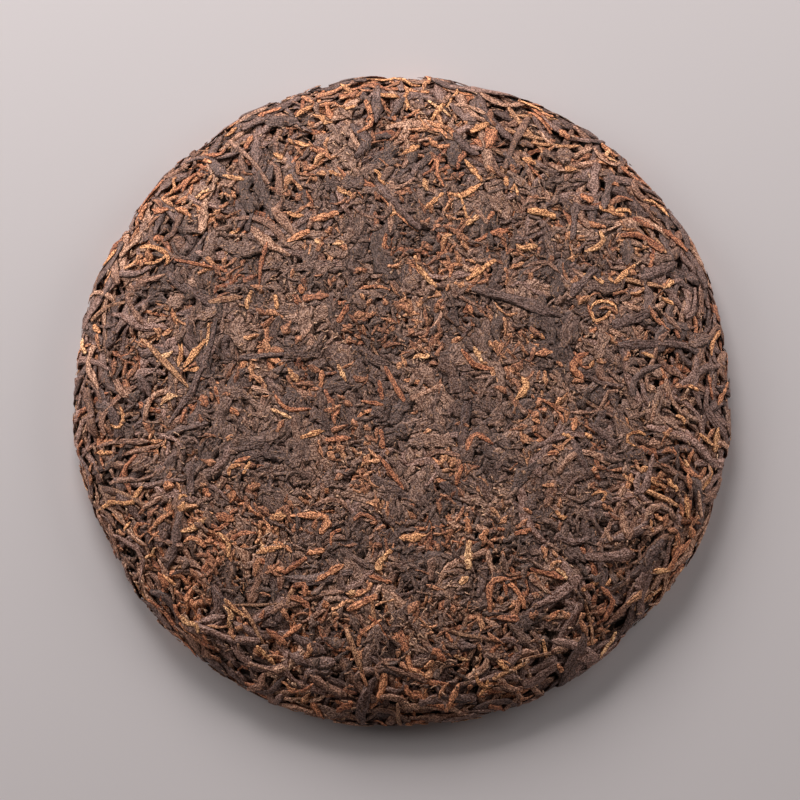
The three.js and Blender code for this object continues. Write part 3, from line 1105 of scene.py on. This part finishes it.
def leaf_finish(name, colours, roughness, dust, paints_flank_shade):
    """Dry leaf: a tone for each leaf, painted shade on its flanks and a painted highlight on its crest, folds
    along it and grains, both with painted shade and painted highlights, and specks of tan dust.
    """
    tree = Tree(name)
    grain = tree.stored("grain")
    tone, luck, crest = tree.split(tree.stored("tone"))
    fold = tree.noise(grain, FOLD_GRAIN, detail=1.0)
    crumple = tree.noise(grain, CRUMPLE_GRAIN, roughness=0.6)
    speck = tree.noise(grain, SPECK_GRAIN, roughness=0.7)
    pits = tree.noise(grain, PIT_GRAIN, detail=0.0)
    patch = tree.noise(grain, PATCH_GRAIN)
    level = tone * 0.65 + patch * 0.45 + speck * 0.6 - 0.35
    base = tree.ramp(level, (0.0, colours[0]), (0.5, colours[1]), (1.0, colours[2]))
    relief = fold * 0.3 + crumple * 0.4 + speck * 0.15 + pits * 0.15
    # Painted shade in the folds and painted highlights on the ridges, by the relief that the bump also uses.
    shade = tree.ramp(relief, *zip(RELIEF_STOPS, (FOLD_SHADE, WHITE, RIDGE_SHINE)))
    # The fine grain: partly the leaf's own reddish colour, partly painted shade in its pits and painted
    # glints on its grains.
    pit_shade_and_glints = tree.ramp(pits, *zip(RELIEF_STOPS, (PIT_SHADE, WHITE, GRAIN_SHINE)))
    # Painted shade on the flanks and a painted highlight on the crest, by how near each vertex is to the
    # crest.
    flank = tree.ramp(crest, *zip(FLANK_STOPS, (FLANK_SHADE, WHITE, CREST_SHINE)))
    # The leaf's colour with its painted shade and painted highlights multiplied in.
    colour_with_painted_light = base
    for mask in (shade, pit_shade_and_glints, flank) if paints_flank_shade else (shade, pit_shade_and_glints):
        colour_with_painted_light = tree.blend(1.0, colour_with_painted_light, mask, "MULTIPLY")
    bloom = tree.ramp(patch * 0.5 + luck * 0.5, *zip(BLOOM_STOPS, (BLACK, MOST_BLOOM)))
    dusted = tree.ramp(speck * 0.6 + crumple * 0.4, *zip(DUST_STOPS, (BLACK, (dust, dust, dust))))
    colour = tree.blend(dusted, tree.blend(bloom, colour_with_painted_light, GREY_BLOOM), TAN_DUST)
    tree.feed(tree.shader.inputs["Base Color"], colour)
    varied = speck * ROUGHNESS_VARIES + (roughness - ROUGHNESS_VARIES / 2)
    tree.feed(tree.shader.inputs["Roughness"], varied)
    tree.feed(tree.shader.inputs["Specular IOR Level"], LEAF_SPECULAR)
    bump = tree.add("ShaderNodeBump", None, {"Strength": 1.0, "Distance": LEAF_BUMP * MM, "Height": relief})
    tree.feed(tree.shader.inputs["Normal"], bump)
    return tree.material


def core_finish():
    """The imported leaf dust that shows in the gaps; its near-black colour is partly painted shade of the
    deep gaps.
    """
    tree = Tree("packed_dust")
    grain = tree.stored("grain")
    mottle = tree.noise(grain, CORE_DUST_GRAIN, detail=5.0, roughness=0.65)
    colour = tree.ramp(mottle, *zip(CORE_STOPS, (CORE_DARK, CORE_LIGHT)))
    tree.feed(tree.shader.inputs["Base Color"], colour)
    tree.feed(tree.shader.inputs["Roughness"], CORE_ROUGHNESS)
    bump = tree.add("ShaderNodeBump", None, {"Strength": 1.0, "Distance": DUST_BUMP * MM, "Height": mottle})
    tree.feed(tree.shader.inputs["Normal"], bump)
    return tree.material


def floor_finish(colour):
    """Plain pale matt floor."""
    tree = Tree("pale_floor")
    tree.feed(tree.shader.inputs["Base Color"], (*colour, 1))
    tree.feed(tree.shader.inputs["Roughness"], FLOOR_ROUGHNESS)
    return tree.material


@dataclass(frozen=True)
class Look:
    """One kind of leaf as it is by default, with its sizes in millimetres."""

    about: str
    form: Form
    count: int
    length: tuple
    width: tuple
    dark: tuple
    middle: tuple
    light: tuple
    roughness: float
    dust: float


LOOKS = {
    "bed_leaves": Look(
        about="leaves of the bed, which show in gaps",
        form=Form(
            flatness=0.5, sides=4, rings=4, on_back=0.42, bend=0.6, sway=0.3, end=0.6, lobes=0.14,
            layer=0,
        ),
        count=2200, length=(9, 18), width=(2.0, 3.6), roughness=0.75, dust=0.2,
        dark=(0.055, 0.032, 0.023), middle=(0.12, 0.065, 0.044), light=(0.22, 0.12, 0.078),
    ),
    "dark_leaves": Look(
        about="dark twisted leaves",
        form=Form(flatness=0.42, sides=7, rings=7, on_back=0.28, likes_middle=-0.3, gathers=-2.0),
        count=1300, length=(9, 24), width=(1.4, 3.5), roughness=0.48, dust=0.35,
        dark=(0.083, 0.045, 0.036), middle=(0.168, 0.092, 0.071), light=(0.36, 0.196, 0.145),
    ),
    "brown_leaves": Look(
        about="brown twisted leaves",
        form=Form(flatness=0.45, sides=7, rings=7, on_back=0.28, likes_middle=-0.1),
        count=1150, length=(8, 21), width=(1.2, 3.1), roughness=0.5, dust=0.5,
        dark=(0.136, 0.065, 0.041), middle=(0.28, 0.133, 0.082), light=(0.59, 0.32, 0.197),
    ),
    "russet_leaves": Look(
        about="russet leaves",
        form=Form(
            flatness=0.5, sides=6, rings=7, on_back=0.26, bend=0.5, end=0.7, likes_middle=0.1,
            gathers=2.5,
        ),
        count=1050, length=(5, 14), width=(1.2, 2.2), roughness=0.58, dust=0.5,
        dark=(0.26, 0.088, 0.042), middle=(0.45, 0.163, 0.073), light=(0.70, 0.312, 0.143),
    ),
    "golden_tips": Look(
        about="golden buds and tips",
        form=Form(
            flatness=0.5, sides=6, rings=8, on_back=0.32, bend=0.5, end=0.6, taper=3.0, lobes=0.14,
            rough_edge=0.08, layer=2,
        ),
        count=110, length=(3.5, 9), width=(1.1, 1.9), roughness=0.65, dust=0.3,
        dark=(0.56, 0.235, 0.100), middle=(0.66, 0.310, 0.132), light=(0.82, 0.47, 0.24),
    ),
    "leaf_flakes": Look(
        about="flat pieces of leaf",
        form=Form(
            flatness=0.09, sides=8, rings=7, on_back=0.22, bend=0.3, sway=0.3, end=0.7, taper=5.0,
            lobes=0.14, rough_edge=0.14, likes_middle=1.0, chances=5, sink=0.2, gathers=-2.0,
            paints_flank_shade=False,
        ),
        count=1450, length=(7, 17), width=(2.2, 5.0), roughness=0.58, dust=0.6,
        dark=(0.082, 0.046, 0.037), middle=(0.17, 0.093, 0.068), light=(0.40, 0.218, 0.143),
    ),
    "stalks": Look(
        about="stalks",
        form=Form(
            flatness=0.85, sides=6, rings=6, on_back=0.2, bend=0.15, sway=0.12, lobes=0.08,
            rough_edge=0.03, likes_middle=-0.1,
        ),
        count=130, length=(10, 22), width=(1.0, 1.9), roughness=0.55, dust=0.3,
        dark=(0.19, 0.090, 0.050), middle=(0.36, 0.172, 0.088), light=(0.68, 0.32, 0.14),
    ),
    "dark_shreds": Look(
        about="fine dark shreds that fill the mat",
        form=Form(
            flatness=0.3, sides=5, rings=4, on_back=0.16, bend=0.4, sway=0.3, lobes=0.18, rough_edge=0.2,
            likes_middle=0.8, layer=2, chances=8, gathers=-1.0, paints_flank_shade=False,
        ),
        count=1450, length=(2.0, 6.0), width=(0.9, 2.2), roughness=0.6, dust=0.5,
        dark=(0.086, 0.049, 0.037), middle=(0.178, 0.095, 0.066), light=(0.33, 0.174, 0.112),
    ),
    "rust_shreds": Look(
        about="fine rust-brown shreds",
        form=Form(
            flatness=0.35, sides=5, rings=4, on_back=0.16, bend=0.4, sway=0.3, lobes=0.18,
            rough_edge=0.18, likes_middle=0.7, layer=2, chances=6, gathers=2.5, paints_flank_shade=False,
        ),
        count=900, length=(2.0, 6.0), width=(0.9, 1.9), roughness=0.65, dust=0.3,
        dark=(0.24, 0.092, 0.046), middle=(0.42, 0.172, 0.084), light=(0.64, 0.300, 0.140),
    ),
    "crumbs": Look(
        about="crumbs",
        form=Form(
            flatness=0.7, sides=4, rings=2, on_back=0.12, bend=0.2, sway=0.1, end=0.7, taper=2.0,
            rough_edge=0.18, likes_middle=0.6, layer=3, chances=8, paints_flank_shade=False,
        ),
        count=2700, length=(0.7, 1.8), width=(0.6, 1.2), roughness=0.7, dust=0.2,
        dark=(0.12, 0.066, 0.044), middle=(0.32, 0.155, 0.086), light=(0.62, 0.37, 0.23),
    ),
}


def span(name, sizes):
    """A property for the smallest and the largest of a size, from millimetres."""
    about = "Smallest and largest " + name.lower()
    ends = [size * MM for size in sizes]
    return FloatVectorProperty(name=name, description=about, size=2, default=ends, unit="LENGTH")


def tint(name, about, colour):
    """A property for a colour."""
    return FloatVectorProperty(name=name, description=about, subtype="COLOR", default=colour, min=0, max=1)


def portion(name, about, value):
    """A property for a share from 0 to 1."""
    return FloatProperty(name=name, description=about, subtype="FACTOR", default=value, min=0, max=1)


def measure(name, about, size):
    """A property for a length, from millimetres."""
    return FloatProperty(name=name, description=about, default=size * MM, unit="LENGTH")


def brightness(name, about, value):
    """A property for a light's power."""
    return FloatProperty(name=name, description=about, default=value, unit="POWER")


def title(name):
    """A kind's name as a label."""
    return name.replace("_", " ").capitalize()


def kind_group(name, look):
    """The class that holds the settings of one kind of leaf."""

    class KindGroup(bpy.types.PropertyGroup):
        """Number, sizes, colours and finish of one kind of leaf"""

        count: IntProperty(name="Count", description="How many are laid", default=look.count, min=1)
        length: span("Length", look.length)
        width: span("Width", look.width)
        dark: tint("Dark", "Colour of the darkest", look.dark)
        middle: tint("Middle", "Colour of most", look.middle)
        light: tint("Light", "Colour of the lightest", look.light)
        roughness: portion("Roughness", "How dull they are", look.roughness)
        dust: portion("Dust", "How much tan dust they have", look.dust)

    KindGroup.__name__ = "TEACAKE_PG_" + name
    return KindGroup


KIND_GROUPS = {name: kind_group(name, look) for name, look in LOOKS.items()}


class TEACAKE_PG_stage(bpy.types.PropertyGroup):
    """Floor, lights and camera"""

    floor: tint("Floor", "Floor colour", (0.71, 0.64, 0.637))
    key_power: brightness("Key", "Main light", 7.6)
    right_power: brightness("Right", "Soft light from the right", 5.1)
    left_power: brightness("Left", "Soft light from the left", 6.7)
    ambient: FloatProperty(name="Ambient", description="Light from all round", default=0.055)
    elevation: FloatProperty(
        name="Elevation", description="Camera over the horizon", default=CAMERA_ELEVATION, subtype="ANGLE"
    )
    distance: measure("Distance", "Camera to the cake", CAMERA_DISTANCE)
    frame_width: measure("Width", "What the picture's width takes in", FRAME_WIDTH)


class TEACAKE_PG_settings(bpy.types.PropertyGroup):
    """All settings of the tea cake"""

    stage: PointerProperty(name="Stage", description="Floor, lights and camera", type=TEACAKE_PG_stage)


for kind_name, group in KIND_GROUPS.items():
    about = "Settings of the " + LOOKS[kind_name].about
    pointer = PointerProperty(name=title(kind_name), description=about, type=group)
    TEACAKE_PG_settings.__annotations__[kind_name] = pointer


def read_kind(settings, name):
    """A kind with the sizes that its settings hold."""
    own = getattr(settings, name)
    length = tuple(value / MM for value in own.length)
    width = tuple(value / MM for value in own.width)
    return Kind(name, LOOKS[name].form, own.count, length, width)


built = {}


def the_pile(context):
    """The laid leaves, worked out once from the settings."""
    if "pile" not in built:
        kinds = [read_kind(context.scene.teacake, name) for name in LOOKS]
        built["pile"] = Pile(kinds)
    return built["pile"]


def dress(piece, material):
    """Gives a piece its finish and its place in the part."""
    piece.data.materials.append(material)
    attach(piece, BODY)
    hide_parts(NODE)


def add_leaves(context, name):
    """Makes all leaves of a kind with their finish."""
    own = getattr(context.scene.teacake, name)
    colours = [tuple(own.dark), tuple(own.middle), tuple(own.light)]
    piece = make_leaves(the_pile(context), name)
    paints_flank_shade = LOOKS[name].form.paints_flank_shade
    dress(piece, leaf_finish(name + "_finish", colours, own.roughness, own.dust, paints_flank_shade))
    return {"FINISHED"}


class TEACAKE_OT_core(bpy.types.Operator):
    """Makes the dark core that the leaves are pressed on"""

    bl_idname = "teacake.core"
    bl_label = "Core"

    def execute(self, context):
        dress(make_core(the_pile(context)), core_finish())
        return {"FINISHED"}


def kind_operator(name, look):
    """The operator class that makes all leaves of one kind."""

    class KindOperator(bpy.types.Operator):
        """Makes all leaves of one kind, with their finish"""

        bl_idname = "teacake." + name
        bl_label = title(name)
        bl_description = "Makes the " + look.about

        def execute(self, context):
            return add_leaves(context, name)

    KindOperator.__name__ = "TEACAKE_OT_" + name
    return KindOperator


KEY_PLACE = (-0.20, 0.80, 0.50)
KEY_SIZE = 0.5
RIGHT_PLACE = (0.87, 0.40, 0.31)
LEFT_PLACE = (-0.87, 0.40, 0.31)
SIDE_SIZE = 0.8
SENSOR = 36.0
CLIP_START = 0.01
FLOOR_SIZE = 6.0
AMBIENT_COLOUR = (1.0, 0.985, 0.97, 1)


def add_light(name, place, size, power):
    """A square soft light that looks at the cake."""
    light = bpy.data.lights.new(name, "AREA")
    light.size = size
    light.energy = power
    lamp = bpy.data.objects.new(name, light)
    lamp.location = place
    lamp.rotation_euler = (-Vector(place)).to_track_quat("-Z", "Y").to_euler()
    bpy.context.collection.objects.link(lamp)


def add_floor(colour):
    """A wide flat floor."""
    half = FLOOR_SIZE / 2
    corners = [(-half, -half, 0), (half, -half, 0), (half, half, 0), (-half, half, 0)]
    mesh = bpy.data.meshes.new("floor")
    mesh.from_pydata(corners, [], [(0, 1, 2, 3)])
    mesh.materials.append(floor_finish(colour))
    floor = bpy.data.objects.new("floor", mesh)
    bpy.context.collection.objects.link(floor)


def add_world(scene, strength):
    """Even light from all round."""
    world = bpy.data.worlds.new("studio")
    world.use_nodes = True
    background = world.node_tree.nodes["Background"]
    background.inputs["Color"].default_value = AMBIENT_COLOUR
    background.inputs["Strength"].default_value = strength
    scene.world = world


def add_camera(scene, stage):
    """The camera at the photo's angle, nearly square on to the face."""
    data = bpy.data.cameras.new("camera")
    data.sensor_width = SENSOR
    data.lens = SENSOR * stage.distance / stage.frame_width
    data.clip_start = CLIP_START
    camera = bpy.data.objects.new("camera", data)
    toward = Vector((0, -math.cos(stage.elevation), math.sin(stage.elevation)))
    camera.rotation_euler = toward.to_track_quat("Z", "Y").to_euler()
    right, up = (share / PHOTO_SIZE - 0.5 for share in CENTRE_IN_PHOTO)
    upward = Vector((0, math.sin(stage.elevation), math.cos(stage.elevation)))
    aside = Vector((-right, 0, 0)) + upward * up
    camera.location = Vector((0, 0, AIM_HEIGHT * MM)) + aside * stage.frame_width + toward * stage.distance
    bpy.context.collection.objects.link(camera)
    scene.camera = camera


class TEACAKE_OT_stage(bpy.types.Operator):
    """Makes the floor, the lights and the camera"""

    bl_idname = "teacake.stage"
    bl_label = "Stage"

    def execute(self, context):
        stage = context.scene.teacake.stage
        add_floor(tuple(stage.floor))
        add_light("key_light", KEY_PLACE, KEY_SIZE, stage.key_power)
        add_light("right_light", RIGHT_PLACE, SIDE_SIZE, stage.right_power)
        add_light("left_light", LEFT_PLACE, SIDE_SIZE, stage.left_power)
        add_world(context.scene, stage.ambient)
        add_camera(context.scene, stage)
        context.scene.view_settings.view_transform = "Standard"
        return {"FINISHED"}


class TEACAKE_PT_panel(bpy.types.Panel):
    """Lists the steps that build the tea cake"""

    bl_idname = "TEACAKE_PT_panel"
    bl_label = "Tea cake"
    bl_space_type = "VIEW_3D"
    bl_region_type = "UI"
    bl_category = "Tea cake"

    def draw(self, context):
        for step in STEPS:
            self.layout.operator(step.bl_idname)


KIND_STEPS = [kind_operator(name, look) for name, look in LOOKS.items()]
STEPS = (TEACAKE_OT_stage, TEACAKE_OT_core, *KIND_STEPS)
GROUPS = (*KIND_GROUPS.values(), TEACAKE_PG_stage, TEACAKE_PG_settings)
CLASSES = (*GROUPS, *STEPS, TEACAKE_PT_panel)


def register():
    for item in CLASSES:
        bpy.utils.register_class(item)
    bpy.types.Scene.teacake = PointerProperty(type=TEACAKE_PG_settings)


def unregister():
    del bpy.types.Scene.teacake
    for item in reversed(CLASSES):
        bpy.utils.unregister_class(item)


def main():
    """Builds everything."""
    register()
    bpy.ops.teacake.stage()
    bpy.ops.teacake.core()
    for name in LOOKS:
        getattr(bpy.ops.teacake, name)()


if __name__ == "__main__":
    main()
